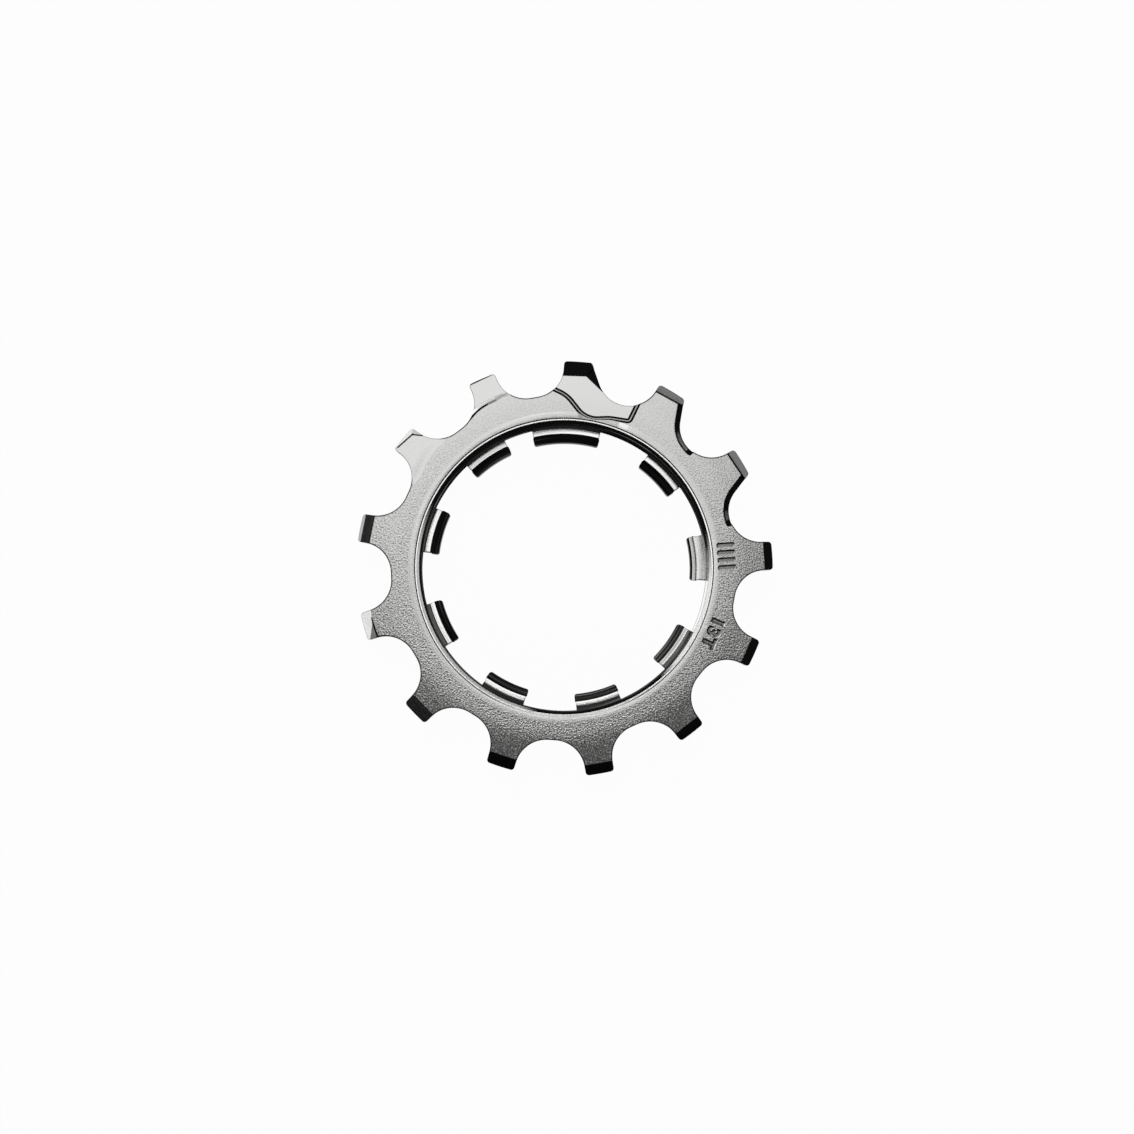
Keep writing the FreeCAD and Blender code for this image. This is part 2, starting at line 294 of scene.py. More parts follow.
def corner_ring(tree, size):
    """A ring of all corners, and for each the radius of its round and that round's points."""
    index = tree.node("InputIndex")
    tooth = (index / CORNERS_PER_TOOTH).math("FLOOR")
    role = index - tooth * CORNERS_PER_TOOTH
    from_first = tooth.math("MINIMUM", size["Teeth"] - tooth)
    low = (from_first > 0.5) * (from_first < 2.5)
    trailing = role > 2.5
    slanted = trailing * (tooth < size["Slanted teeth"])
    across, up, at_tip, crown = local_corner(size, low, slanted, role)
    across = across * (2 * trailing - 1)
    angle = (size["First tooth"] + tooth * 360.0 / size["Teeth"]).math("RADIANS")
    x = up * angle.math("SINE") + across * angle.math("COSINE")
    y = up * angle.math("COSINE") - across * angle.math("SINE")
    ring = tree.node("MeshCircle", {"Vertices": size["Teeth"] * CORNERS_PER_TOOTH})
    ring = tree.node("SetPosition", {"Geometry": ring, "Position": tree.vector(x, y, 0.0)})
    seat, corner = 1 - at_tip, at_tip - crown
    radius = seat * size["Seat radius"] + corner * size["Corner"] + crown * size["Tip radius"]
    points = seat * size["Arc points"] + corner * TIP_CORNER_POINTS + crown * CROWN_POINTS
    ring = store(tree, ring, "corner_radius", "FLOAT", radius)
    return store(tree, ring, "corner_points", "INT", points)


def store(tree, geometry, name, kind, value):
    inputs = {"Geometry": geometry, "Name": name, "Value": value}
    return tree.node("StoreNamedAttribute", inputs, data_type=kind, domain="POINT")


def read(tree, name, kind="FLOAT"):
    return tree.node("InputNamedAttribute", {"Name": name}, data_type=kind)


print("corners on the ring:", teeth * CORNERS_PER_TOOTH)

# %% [markdown]
# A curve through the corners, rounded, is the outline. It is read four times, as the rings of a
# cylinder, numbered 0 to 3 from the front; the first and the last are drawn in by the edge break.

# %% Grow the plate
def plate_tree(sizes):
    tree, size = geometry_tree("toothed_plate", sizes)
    curve = tree.node("MeshToCurve", {"Mesh": corner_ring(tree, size)})
    rounded = {"Curve": curve, "Count": read(tree, "corner_points", "INT"),
               "Radius": read(tree, "corner_radius")}
    outline = tree.node("FilletCurve", rounded, mode="POLY")
    end_tree(tree, stacked(tree, outline, size), marker("face"))
    return tree


def stacked(tree, outline, size):
    count = tree.node("AttributeDomainSize", {"Geometry": outline}, component="CURVE")
    body = {"Vertices": count, "Side Segments": 3}
    body = tree.node("MeshCylinder", body, fill_type="NGON")
    index = tree.node("InputIndex")
    level = ((index + 0.5) / count).math("FLOOR")

    def sampled(kind):
        inputs = {"Geometry": outline, "Value": tree.node(kind), "Index": index - level * count}
        return tree.node("SampleIndex", inputs, data_type="FLOAT_VECTOR", domain="POINT")

    inward = tree.vectors("CROSS_PRODUCT", sampled("InputTangent"), (0.0, 0.0, 1.0))
    drawn_in = (level - 1.5).math("ABSOLUTE") > 1.0
    inset = drawn_in * size["Edge break"]
    front = level < 1.5
    z = size["Back"] + front * size["Thickness"] + (1 - drawn_in) * size["Edge break"] * (1 - 2 * front)
    flat = tree.vectors("MULTIPLY", inward, tree.vector(inset, inset, inset))
    flat = tree.vectors("ADD", sampled("InputPosition"), flat)
    place = tree.vectors("ADD", flat, tree.vector(0.0, 0.0, z))
    return tree.node("SetPosition", {"Geometry": body, "Position": place})


plate_sizes = {
    "Teeth": teeth, "Root radius": root_radius, "Tip radius": tip_radius, "Low tip radius": low_tip_radius,
    "Corner": tip_corner, "First tooth": first_tooth, "Seat radius": seat_radius, "Seat offset": seat_offset,
    "Flank taper": flank_taper, "Slanted taper": slanted_taper, "Slanted teeth": slanted_teeth,
    "Edge break": edge_break, "Back": collar_height, "Thickness": plate_thickness, "Arc points": 24,
}
plate = grown("plate", plate_tree(plate_sizes), plate_sizes)
print("plate spans", tuple(plate.dimensions))

# %% [markdown]
# The drawn collar and the tool that opens the bore are round about the axis, so each is a section
# turned on a lathe. The tool leaves the shallow cone where the steel was drawn in, a fine step, and
# the bevel at the mouth of the bore. Cutting the bore out of a solid plate keeps every wall closed.

# %% Lathe
LATHE_SEGMENTS = 288


def at(radius, angle, z=0.0, sideways=0.0):
    """A point at a radius and a clockwise angle from +Y, moved sideways clockwise."""
    a = radians(angle)
    x = radius * sin(a) + sideways * cos(a)
    y = radius * cos(a) - sideways * sin(a)
    return Vector((x, y, z))


def mesh_object(name, points, faces, material):
    mesh = bpy.data.meshes.new(name)
    mesh.from_pydata(points, [], faces)
    mesh.materials.append(marker(material))
    return outward(new_object(name, mesh))


def skin(size, rows, closed=False):
    """Faces between rows of points, and a cap at either end unless the rows close up."""
    faces = []
    for row in range(rows if closed else rows - 1):
        near = row * size
        far = (row + 1) % rows * size
        for i in range(size):
            j = (i + 1) % size
            faces.append((near + i, near + j, far + j, far + i))
    if not closed:
        faces += [tuple(range(size)), tuple(range((rows - 1) * size, rows * size))]
    return faces


def turned(name, section, material, segments=LATHE_SEGMENTS, start=0.0, sweep=360.0):
    """A closed section of radii and heights, turned about the axis."""
    whole = sweep == 360.0
    stations = segments if whole else segments + 1
    points = []
    for station in range(stations):
        angle = start + sweep * station / segments
        points += [at(radius, angle, z) for radius, z in section]
    size = len(section)
    faces = skin(size, stations, whole)
    # A face between two points on the axis has no area
    faces = [face for face in faces if any(section[i % size][0] > 0 for i in face)]
    return mesh_object(name, points, faces, material)


# %% Turn the collar and the bore tool
rim_z = front_z - draw_in_depth
lip_z = rim_z - rim_step
bend_middle = collar_bend * (1 - sqrt(0.5))
overlap = 0.4
sliver = 0.001

collar = turned("collar", [
    (bore_radius - overlap, 0.0), (collar_radius - back_chamfer, 0.0),
    (collar_radius, back_chamfer), (collar_radius, collar_height - collar_bend),
    (collar_radius + bend_middle, collar_height - bend_middle),
    (collar_radius + collar_bend, collar_height + sliver),
    (collar_radius + collar_bend, collar_height + overlap), (bore_radius - overlap, collar_height + overlap),
], "face")

draw_in_slope = draw_in_depth / (draw_in_radius - rim_radius)
# The wall of the bore gets its darkest painted shade above and below these heights
wall_foot = 0.75
wall_top = lip_z - rim_bevel - 0.35
bore_tool = turned("bore_tool", [
    (bore_radius + back_chamfer + overlap, -overlap),
    (bore_radius, back_chamfer), (bore_radius, wall_foot),
    (bore_radius, wall_top), (bore_radius, lip_z - rim_bevel),
    (bore_radius + rim_bevel, lip_z),
    (rim_radius - rim_step_run, lip_z),
    (rim_radius, rim_z),
    (draw_in_radius + overlap, front_z + overlap * draw_in_slope),
    (draw_in_radius + overlap, front_z + 2 * overlap), (0.0, front_z + 2 * overlap), (0.0, -overlap),
], "wall")

# %% [markdown]
# Each spline tab is what is left of the drawn cup's floor: flat at the back, coined down at its
# end, and joined to the wall by a round. Its inner corners are rounded, and the coining has pushed
# the end a little sideways. So a tab is a turned section cut to a plan. Eight tabs are alike and
# one is wider, which lets the sprocket go on in one position only.

# %% Section and plan of a tab
tab_coining_steps = (1.0, 0.78, 0.43, 0.34, 0.15, 0.0)
tab_flat_end = 0.13
tab_flat_end_rise = 0.3
tab_back_step = 0.05
tab_bulge_blend = 0.1
tab_root_steps = 8
tab_corner_steps = 6
tab_end_steps = 24
tab_segments = 32
tab_spare_angle = 3.0


def quarter_turn(steps):
    turns = [pi / 2 * step / steps for step in range(steps + 1)]
    return [(sin(turn), cos(turn)) for turn in turns]


def tab_section():
    """From the back up over the coined bevel and the crowned flat into the wall."""
    round_x = bore_radius - tab_root_round
    round_z = tab_thickness + tab_root_round
    spare_slope = tab_coining * tab_bevel_drop / tab_bevel_run
    start = tab_end_radius - overlap
    section = [(start, 0.0), (start, tab_thickness - tab_bevel_drop - overlap * spare_slope)]
    for share in tab_coining_steps:
        radius = tab_end_radius + tab_bevel_run * (1 - share)
        section.append((radius, tab_thickness - tab_bevel_drop * share ** tab_coining))
    section.append(((tab_end_radius + tab_bevel_run + round_x) / 2, tab_thickness + tab_crown))
    section.append((round_x - tab_flat_end, tab_thickness + tab_flat_end_rise * tab_crown))
    for sine, cosine in quarter_turn(tab_root_steps):
        section.append((round_x + tab_root_round * sine, round_z - tab_root_round * cosine))
    middle = (bore_radius + collar_radius) / 2
    return section + [(middle, round_z), (middle, tab_back_step), (bore_radius + back_chamfer, 0.0)]


def tab_plan(half_angle):
    """Outline of a tab from the front, clockwise side first, inner corners rounded."""
    end = half_angle + tab_bulge_angle
    bulge_start = tab_end_radius + tab_bulge_run
    corner_angle = degrees(tab_corner / tab_end_radius)
    side = [(bore_radius + 2 * overlap, half_angle), (bulge_start + tab_bulge_blend, half_angle),
            (bulge_start - tab_bulge_blend, end)]
    for sine, cosine in quarter_turn(tab_corner_steps):
        side.append((tab_end_radius + tab_corner * (1 - sine), end - corner_angle * (1 - cosine)))
    inner = end - corner_angle
    middle = [(tab_end_radius, inner - 2 * inner * step / tab_end_steps) for step in range(1, tab_end_steps)]
    return side + middle + [(radius, -angle) for radius, angle in reversed(side)]


def prism(name, outline, low, high, material):
    """A flat outline given thickness between two heights."""
    points = [Vector((p.x, p.y, z)) for z in (low, high) for p in outline]
    return mesh_object(name, points, skin(len(outline), 2), material)


print("points of a tab's section and plan:", len(tab_section()), len(tab_plan(tab_half_angle)))

# %% [markdown]
# Solids are joined and cut by exact booleans, which take all tools of a step at once. The nine
# tabs are copies of two shapes, set round the bore by a tree; the first is the wide one.

# %% Make the tabs and join the blank
def boolean(body, others, operation):
    """Join other solids to the body or cut them away, and drop them."""
    group = bpy.data.collections.new(operation)
    for other in others:
        group.objects.link(other)
    modifier = body.modifiers.new(operation, "BOOLEAN")
    modifier.operation = operation
    modifier.solver = "EXACT"
    modifier.use_self = operation == "DIFFERENCE"
    modifier.material_mode = "TRANSFER"
    modifier.operand_type = "COLLECTION"
    modifier.collection = group
    settle(body)
    for other in others:
        bpy.data.objects.remove(other)
    bpy.data.collections.remove(group)
    return outward(body)


def tab(name, half_angle):
    """The turned section, as far as it lies inside the plan."""
    sweep = 2 * (half_angle + tab_spare_angle)
    section = turned(name, tab_section(), "tab", tab_segments, -sweep / 2, sweep)
    outline = [at(radius, angle) for radius, angle in tab_plan(half_angle)]
    return boolean(section, [prism(name + "_plan", outline, -1.0, front_z, "tab")], "INTERSECT")


def tab_ring_tree(sizes):
    tree, size = geometry_tree("tab_ring", sizes)
    index = tree.node("InputIndex")
    points = tree.node("Points", {"Count": size["Tabs"]})
    angle = (size["Phase"] + index * 360.0 / size["Tabs"]).math("RADIANS")
    rows = tree.node("JoinGeometry")
    for shape, chosen in (("Wide tab", index < 0.5), ("Tab", index > 0.5)):
        info = tree.node("ObjectInfo", {"Object": size[shape]}, "Geometry")
        placed = {"Points": points, "Selection": chosen, "Instance": info}
        placed["Rotation"] = tree.vector(0.0, 0.0, 0 - angle)
        row = tree.node("InstanceOnPoints", placed)
        tree.nodes.links.new(row.socket, rows.socket.node.inputs[0])
    end_tree(tree, rows, marker("tab"))
    return tree


narrow = tab("narrow_tab", tab_half_angle)
wide = tab("wide_tab", tab_half_angle + wide_tab_extra / 2)
wide.data.transform(Matrix.Rotation(radians(wide_tab_extra / 2), 4, "Z"))
ring_sizes = {"Tabs": tabs, "Phase": tab_phase, "Tab": narrow, "Wide tab": wide}
tab_ring = grown("tab_ring", tab_ring_tree(ring_sizes), ring_sizes)
for shape in (narrow, wide):
    bpy.data.objects.remove(shape)
sprocket = boolean(plate, [collar], "UNION")
sprocket = boolean(sprocket, [bore_tool], "DIFFERENCE")
sprocket = boolean(sprocket, [tab_ring], "UNION")
print("materials on the blank:", len(sprocket.data.materials))

# %% [markdown]
# The coined facets come next. Plain teeth carry one bevel each, struck on a circle whose centre
# stands a little off the axis, so they grow wider to one side. Special teeth have facets of their
# own, some on a pressed floor, and the ones with a paler painted reflection are set off by a fine
# groove, painted as a dark line. One tree sets a cutting block at every point of a list, turned by
# the heading and slope stored there. A facet's name says which painted reflection it gets: painted
# shade, a painted grey, and a painted highlight.

# %% Facets of the teeth
bevel_run = 1.52
bevel_shift = 0.3
bevel_slope = 28.0
back_bevel_run = 1.1
back_bevel_slope = 25.0
ramp_depth = 0.45
step_depth = 0.5
dish_depth = 0.16
block_size = 10.0
groove_size = 0.14

plain_teeth = (3, 4, 5, 6, 7, 8, 10)

# By look: tooth, depth of the face it starts from, run in from the tip circle, angle and heading
# from the tooth's own, slope, and half the length of its edge
special_facets = {
    "dark_facet": (
        (0, ramp_depth, 2.13, 0.0, -2.0, 20.0, 3.0), (0, ramp_depth, 2.90, 5.4, 40.2, 28.0, 1.55),
        (12, step_depth, 0.38, 0.0, -1.9, 35.0, 3.0),
    ),
    "grey_facet": (
        (1, 0.0, 1.28, 0.0, -2.6, 18.0, 4.0), (2, 0.0, 1.25, 0.1, -2.5, 18.0, 4.0),
        (9, 0.0, 1.40, -1.7, -2.1, 19.0, 3.0), (10, 0.70, 0.50, 0.0, 0.0, 50.0, 4.0),
    ),
    "bright_facet": (
        (9, 0.0, 1.49, 2.0, 10.7, 32.0, 4.0), (11, dish_depth, 0.70, -0.1, 9.5, 40.0, 3.0),
        (11, dish_depth, 1.30, 3.0, 57.1, 26.0, 0.9),
    ),
    "groove": (
        (1, 0.0, 1.38, 0.0, -2.6, 45.0, 4.0), (2, 0.0, 1.35, 0.1, -2.5, 45.0, 4.0),
        (9, 0.0, 1.52, -1.7, -2.1, 45.0, 3.0), (11, dish_depth, 0.80, -0.1, 9.5, 45.0, 1.4),
        (11, dish_depth, 1.36, 3.0, 57.1, 45.0, 0.9),
    ),
}


def tooth_angle(tooth):
    return first_tooth + tooth * tooth_step


def facet_rows(look):
    """Place, heading, slope and half edge of each front facet of one look."""
    rows = []
    for tooth in plain_teeth if look == "dark_facet" else ():
        angle = tooth_angle(tooth)
        start = tip_radius - bevel_run + bevel_shift * sin(radians(angle))
        rows.append((at(start, angle, front_z), angle, bevel_slope, block_size / 2))
    for tooth, depth, run, angle, heading, slope, half_edge in special_facets[look]:
        middle = tooth_angle(tooth)
        place = at(tip_radius - run, middle + angle, front_z - depth)
        rows.append((place, middle + heading, slope, half_edge))
    return rows

# %% Cutting blocks on a list of points
def facet_tree(sizes, look):
    """Side is 1 for the front of the plate and -1 for the back."""
    tree, size = geometry_tree("facet_blocks", sizes)
    info = tree.node("ObjectInfo", {"Object": size["Points"]}, "Geometry")
    edge = size["Block"]
    block = tree.node("MeshCube", {"Size": tree.vector(edge, edge, edge)})
    lift = tree.vector(0.0, edge / 2, size["Side"] * edge / 2)
    block = tree.node("Transform", {"Geometry": block, "Translation": lift})
    slope = (size["Side"] * read(tree, "slope")).math("RADIANS")
    heading = read(tree, "heading").math("RADIANS")
    placed = {"Points": info, "Instance": block, "Rotation": tree.vector(0 - slope, 0.0, 0 - heading)}
    placed["Scale"] = tree.vector(2 * read(tree, "half_edge") / edge, 1.0, 1.0)
    end_tree(tree, tree.node("InstanceOnPoints", placed), marker(look))
    return tree


def facet_blocks(name, rows, side, size):
    points = bpy.data.meshes.new(name)
    points.from_pydata([row[0] for row in rows], [], [])
    for column, label in ((1, "heading"), (2, "slope"), (3, "half_edge")):
        stored = points.attributes.new(label, "FLOAT", "POINT")
        stored.data.foreach_set("value", [row[column] for row in rows])
    source = new_object(name + "_points", points)
    sizes = {"Points": source, "Block": size, "Side": float(side)}
    blocks = grown(name, facet_tree(sizes, name), sizes)
    bpy.data.objects.remove(source)
    return blocks


back_rows = []
for angle in (tooth_angle(tooth) for tooth in range(teeth)):
    place = at(tip_radius - back_bevel_run, angle, collar_height)
    back_rows.append((place, angle, back_bevel_slope, block_size / 2))
facet_tools = []
for look in special_facets:
    size = groove_size if look == "groove" else block_size
    facet_tools.append(facet_blocks(look, facet_rows(look), 1, size))
facet_tools.append(facet_blocks("back_facet", back_rows, -1, block_size))

# %% [markdown]
# Two areas of the front are pressed in, where the chain climbs or leaves: the ramp round the first
# tooth and the release step across the last one, with a soft dish one tooth before. Pressed steel
# has no sharp wall: it bends down, falls, and bends out again, and the bends draw thin light and
# dark lines round each area, partly by their own shading and partly as painted highlight and painted
# shade. So the tool is a stack of outlines, each drawn in a little further and a little lower, along
# half a wave.

# %% Tool of a pressed area
CORNER_STEPS = 12
WALL_LEVELS = 16
TOOL_HEIGHT = 1.0


def rounded_outline(corners):
    """Points along a polygon with rounded corners, and their inward directions."""
    points = []
    for index, (corner, radius) in enumerate(corners):
        into = (corners[index - 1][0] - corner).normalized()
        out = (corners[(index + 1) % len(corners)][0] - corner).normalized()
        half = into.angle(out) / 2
        bisector = (into + out).normalized()
        turn = 1 if into.cross(out).z > 0 else -1
        centre = corner + bisector * (radius / sin(half))
        swing = pi / 2 - half
        for step in range(CORNER_STEPS + 1):
            angle = swing * (2 * step / CORNER_STEPS - 1) * -turn
            ray = Matrix.Rotation(angle, 3, "Z") @ -bisector
            points.append((centre + ray * radius, ray * turn))
    return points


def pressing_tool(name, depth, run, corners, levels=WALL_LEVELS):
    """A stack of outlines from the floor up: half a wave for the wall, then straight above."""
    outline = rounded_outline(corners)
    points = []
    for level in range(levels + 1):
        share = level / levels
        z = front_z - depth * (1 + cos(pi * share)) / 2
        points += [point + inward * run * (1 - share) + Vector((0, 0, z)) for point, inward in outline]
    points += [point + Vector((0, 0, front_z + TOOL_HEIGHT)) for point, inward in outline]
    return mesh_object(name, points, skin(len(outline), levels + 2), name)


def around(tooth, *places):
    """Corners given by radius, angle from a tooth's own, and radius of the corner's round."""
    return [(at(radius, tooth_angle(tooth) + angle), corner) for radius, angle, corner in places]


# %% Ramp, release step and dish
# By name: depth, width of the wall, and corners
pressings = {
    "ramp": (ramp_depth, 0.78, around(
        0, (24.0, -11.0, 0.9), (22.35, -3.6, 3.9), (19.25, 4.13, 3.6), (20.1, 13.24, 4.0),
        (20.72, 21.25, 0.8), (25.5, 21.4, 0.9), (27.5, 13.9, 0.9), (32.0, 8.9, 0.9), (32.0, -7.1, 0.9),
        (26.0, -11.1, 0.9))),
    "step": (step_depth, 0.8, around(
        -1, (22.2, -14.9, 1.0), (23.5, -4.5, 6.0), (23.6, 2.6, 4.0), (23.5, 9.1, 1.0), (31.0, 9.1, 1.0),
        (31.0, -10.4, 1.0))),
    "dish": (dish_depth, 1.6, around(
        -2, (22.1, -11.7, 1.8), (22.6, -1.7, 4.0), (22.9, 4.3, 4.0), (22.4, 10.8, 1.8), (31.0, 10.8, 1.8),
        (31.0, -11.7, 1.8))),
}
pressing_tools = [pressing_tool(name, *pressing) for name, pressing in pressings.items()]

# %% [markdown]
# The two teeth after the ramp have a long chamfer down their driving flank and round the roller
# seat, where the chain is guided as it drops. It follows a path, so its tool is a section carried
# along the flank, square to the path at every point.

# %% Long chamfers down two flanks
chamfer_drop = 0.55
chamfer_overrun = 8.0
chamfer_straight = 2.2
chamfer_run_out = 4.0
chamfer_steps = 28
chamfered_teeth = (1, 2)

# Out from the flank and up from the face: steep at the face, flatter, then steep down the edge
chamfer_section = ((-1.10, 0.455), (-0.55, -0.26), (-0.14, -0.36), (0.3, -1.16), (1.6, -1.16), (1.6, 1.5),
                   (-1.10, 1.5))


def chamfer_path(tooth):
    """Points down the driving flank and past the valley, with the way out of the steel."""
    middle = tooth_angle(tooth)
    centre = at(root_radius + seat_radius, middle + tooth_step / 2, 0.0, seat_offset)
    start = radians(middle - 90 - slanted_taper)
    bottom = radians(middle + tooth_step / 2 + 180)
    sweep = (bottom - start) % (2 * pi) - 2 * pi - radians(chamfer_overrun)

    def on_seat(angle, lift):
        ray = at(1.0, angle)
        return centre + ray * seat_radius, -ray, lift

    foot, out, lift = on_seat(degrees(start), 0.0)
    path = [(foot + at(1.0, middle - slanted_taper) * chamfer_straight, out, lift)]
    turns = [start + sweep * step / chamfer_steps for step in range(chamfer_steps + 1)]
    path += [on_seat(degrees(turn), 0.0) for turn in turns]
    path.append(on_seat(degrees(start + sweep) - chamfer_run_out, chamfer_drop))
    return path


def chamfer_tool(tooth):
    points = []
    path = chamfer_path(tooth)
    for place, out, lift in path:
        for across, rise in chamfer_section:
            points.append(place + out * across + Vector((0, 0, front_z + rise + lift)))
    faces = skin(len(chamfer_section), len(path))
    return mesh_object("flank_chamfer_%d" % tooth, points, faces, "flank")


chamfer_tools = [chamfer_tool(tooth) for tooth in chamfered_teeth]

# %% [markdown]
# Two small marks are stamped between the bore and the teeth: the number of teeth with a T behind
# it, and four plain strokes where the real part carries its maker's sign. A punch has sloped
# flanks, so the number is Blender's own type with a bevel, and the strokes are small pressings.

# %% Stamped marks
number_radius = 21.4
number_height = 1.6
number_angle = 113.2
stroke_radius = 21.25
stroke_angle = 85.6
stroke_length = 2.4
stroke_width = 0.66
stroke_pitch = 0.98
stroke_count = 4
stroke_corner = 0.25
stroke_levels = 4
stamp_depth = 0.16
stamp_slope_run = 0.16
punch_length = 0.5
letter_spacing = 1.3
letter_boldness = 0.045
CAPITALS_SHARE = 0.73
SQUARE = ((-1, -1), (1, -1), (1, 1), (-1, 1))


def stamp_place(angle, radius, sideways=0.0):
    """Where a stamp stands: its middle on the ring, its top outward."""
    turn = Matrix.Rotation(-radians(angle), 4, "Z")
    return Matrix.Translation(at(radius, angle, front_z, sideways)) @ turn


def number_tool(text):
    curve = bpy.data.curves.new("stamped_number", "FONT")
    curve.body = text
    curve.size = number_height / CAPITALS_SHARE
    curve.align_x = "CENTER"
    curve.space_character = letter_spacing
    curve.resolution_u = 5
    curve.offset = letter_boldness
    curve.extrude = punch_length
    curve.bevel_depth = stamp_slope_run
    curve.bevel_resolution = 0
    typed = new_object("typed_number", curve)
    mesh = shown_mesh(typed)
    bpy.data.objects.remove(typed)
    mesh.materials.clear()
    mesh.materials.append(marker("stamp"))
    flatten = stamp_depth / stamp_slope_run
    mesh.transform(Matrix.Scale(flatten, 4, (0, 0, 1)))
    rise = (curve.extrude + stamp_slope_run) * flatten - stamp_depth
    lift = Matrix.Translation((0, -number_height / 2, rise))
    mesh.transform(stamp_place(number_angle, number_radius) @ lift)
    return outward(new_object("stamped_number", mesh))


def stroke_tool(index):
    offset = (index - (stroke_count - 1) / 2) * stroke_pitch
    place = stamp_place(stroke_angle, stroke_radius, offset)
    corners = []
    for x, y in SQUARE:
        corner = place @ Vector((x * stroke_width / 2, y * stroke_length / 2, 0.0))
        corners.append((Vector((corner.x, corner.y, 0.0)), stroke_corner))
    return pressing_tool("stamp", stamp_depth, stamp_slope_run, corners, stroke_levels)


stamp_tools = [number_tool("%dT" % teeth)] + [stroke_tool(index) for index in range(stroke_count)]

# %% Cut the marks, the facets, the pressed areas and the chamfers
sprocket = boolean(sprocket, stamp_tools + facet_tools + pressing_tools + chamfer_tools, "DIFFERENCE")
sprocket.name = "dressed_sprocket"
print("materials", [m and m.name for m in sprocket.data.materials])

# %% [markdown]
# The sprocket has one finish, nickel over tumbled steel, and the faces that each tool leaves get a
# touch of their own. So the markers are read off once, face by face, and written down as a colour on
# the mesh: how pale the metal is, how mottled, how rough, and how far fine rings run round it. The
# paleness also carries painted shade, painted reflections and painted highlights: the bevels and the
# wall of the bore are painted near black, with hardly a reflection. The same few touches come back
# all over the part, so they have names.

# %% Names for the touches
# Paleness (with painted shade and painted highlights in it), mottling, roughness, and strength of the fine
# rings round the axis
FRONT = (0.58, 1.0, 0.30, 0.0)
BAND = (0.62, 0.25, 0.27, 0.3)
SMOOTH = (0.62, 0.30, 0.27, 0.0)
# Painted shade and painted dark reflections: bevels, the wall of the bore, dark lines; a dimmer painted
# reflection on two bevels
SHADE_BLACK = (0.008, 0.25, 0.25, 0.2)
WALL_SHADE = (0.015, 0.25, 0.25, 1.7)
DIM_REFLECTION = (0.035, 0.8, 0.30, 0.5)
# A grey, painted as a mid reflection on facets, chamfers, tabs and pressed walls, and plain on the back of
# the bore
GREY = (0.45, 0.3, 0.28, 0.1)
# A painted highlight
HIGHLIGHT = (1.0, 0.2, 0.22, 0.2)
# Painted shade on the front edge break
EDGE_BREAK_SHADE = (0.03, 0.6, 0.35, 0.0)
SHEARED = (0.42, 0.8, 0.36, 0.0)
OUTSIDE = (0.60, 0.6, 0.32, 0.4)
# Tabs: a pale flat with a painted highlight, painted shade on the root and the coined end, and painted
# highlight streaks
TAB_FLAT_SHEEN = (0.80, 0.1, 0.24, 1.1)
TAB_ROOT_SHADE = (0.06, 0.2, 0.25, 1.7)
TAB_END_SHADE = (0.010, 0.3, 0.25, 1.3)
STREAKED_TAB_SHADE = (0.035, 0.3, 0.25, 2.0)
HIGHLIGHT_STREAKS = (0.7, 0.2, 0.24, 0.8)
SLOT_END = (0.15, 0.4, 0.30, 0.2)
# Painted shade on the floor of a stamp
STAMP_FLOOR_SHADE = (0.28, 0.3, 0.30, 0.0)


def clamped(value):
    return min(1.0, max(0.0, value))


def mixed(one, other, share):
    share = clamped(share)
    return tuple(a + (b - a) * share for a, b in zip(one, other))


def clockwise(place):
    return degrees(atan2(place.x, place.y)) % 360.0


def near_angle(place, middle, half, fade):
    """1 within an angle either side of a direction, falling to 0 over the fade."""
    away = abs((clockwise(place) - middle + 180.0) % 360.0 - 180.0)
    return clamped((half + fade - away) / fade)


print("half way from front to black:", mixed(FRONT, SHADE_BLACK, 0.5))

# %% [markdown]
# A pressed wall gets fine painted lines along its length: a painted highlight on its lower bend,
# and painted shade on the steep part and the upper bend, with a painted grey line between. Height
# alone tells where on the wall a face lies, because every wall falls along the same half wave. The
# painted lines of the release step fade out along it, and the dish is too soft to have any.

# %% Touch of the pressed areas
# Painted highlight, grey and shade lines along a pressed wall, each up to a share of its run from the floor
PRESSED_LINES = {
    "ramp": ((0.08, HIGHLIGHT), (0.42, SHADE_BLACK), (0.62, GREY), (1.01, SHADE_BLACK)),
    "step": ((0.12, GREY), (0.64, HIGHLIGHT), (1.01, SHADE_BLACK)),
    "dish": ((1.01, SMOOTH),),
}
STRONG_STEP = (tooth_angle(-1) - 7.0, 5.0, 6.0)
FLOOR_NORMAL = 0.995
FLOOR_SHARE = 0.9
UPPER_BEND = 0.7


def pressed_touch(name, place, normal):
    fallen = clamped((front_z - place.z) / pressings[name][0])
    if normal.z > FLOOR_NORMAL and fallen > FLOOR_SHARE:
        return SMOOTH
    share = acos(2 * fallen - 1) / pi
    fading = near_angle(place, *STRONG_STEP) if name == "step" else 1.0
    # Where the painted lines fade, the lower wall keeps some painted grey shade
    faded = mixed(GREY, BAND, 0.3) if share < UPPER_BEND else BAND
    for limit, touch in PRESSED_LINES[name]:
        if share < limit:
            return mixed(faded, touch, fading)
    return SMOOTH


print("pressed areas:", sorted(PRESSED_LINES))

# %% [markdown]
# The wall of the bore and the coined ends of the tabs get painted shade, with streaks; only the
# side that faces the window light gets a painted highlight. The flat of a tab is pale steel with a
# painted highlight, and on the low tabs, towards -Y, its outer half gets painted shade again. The
# angle and the radius of a face tell them apart.

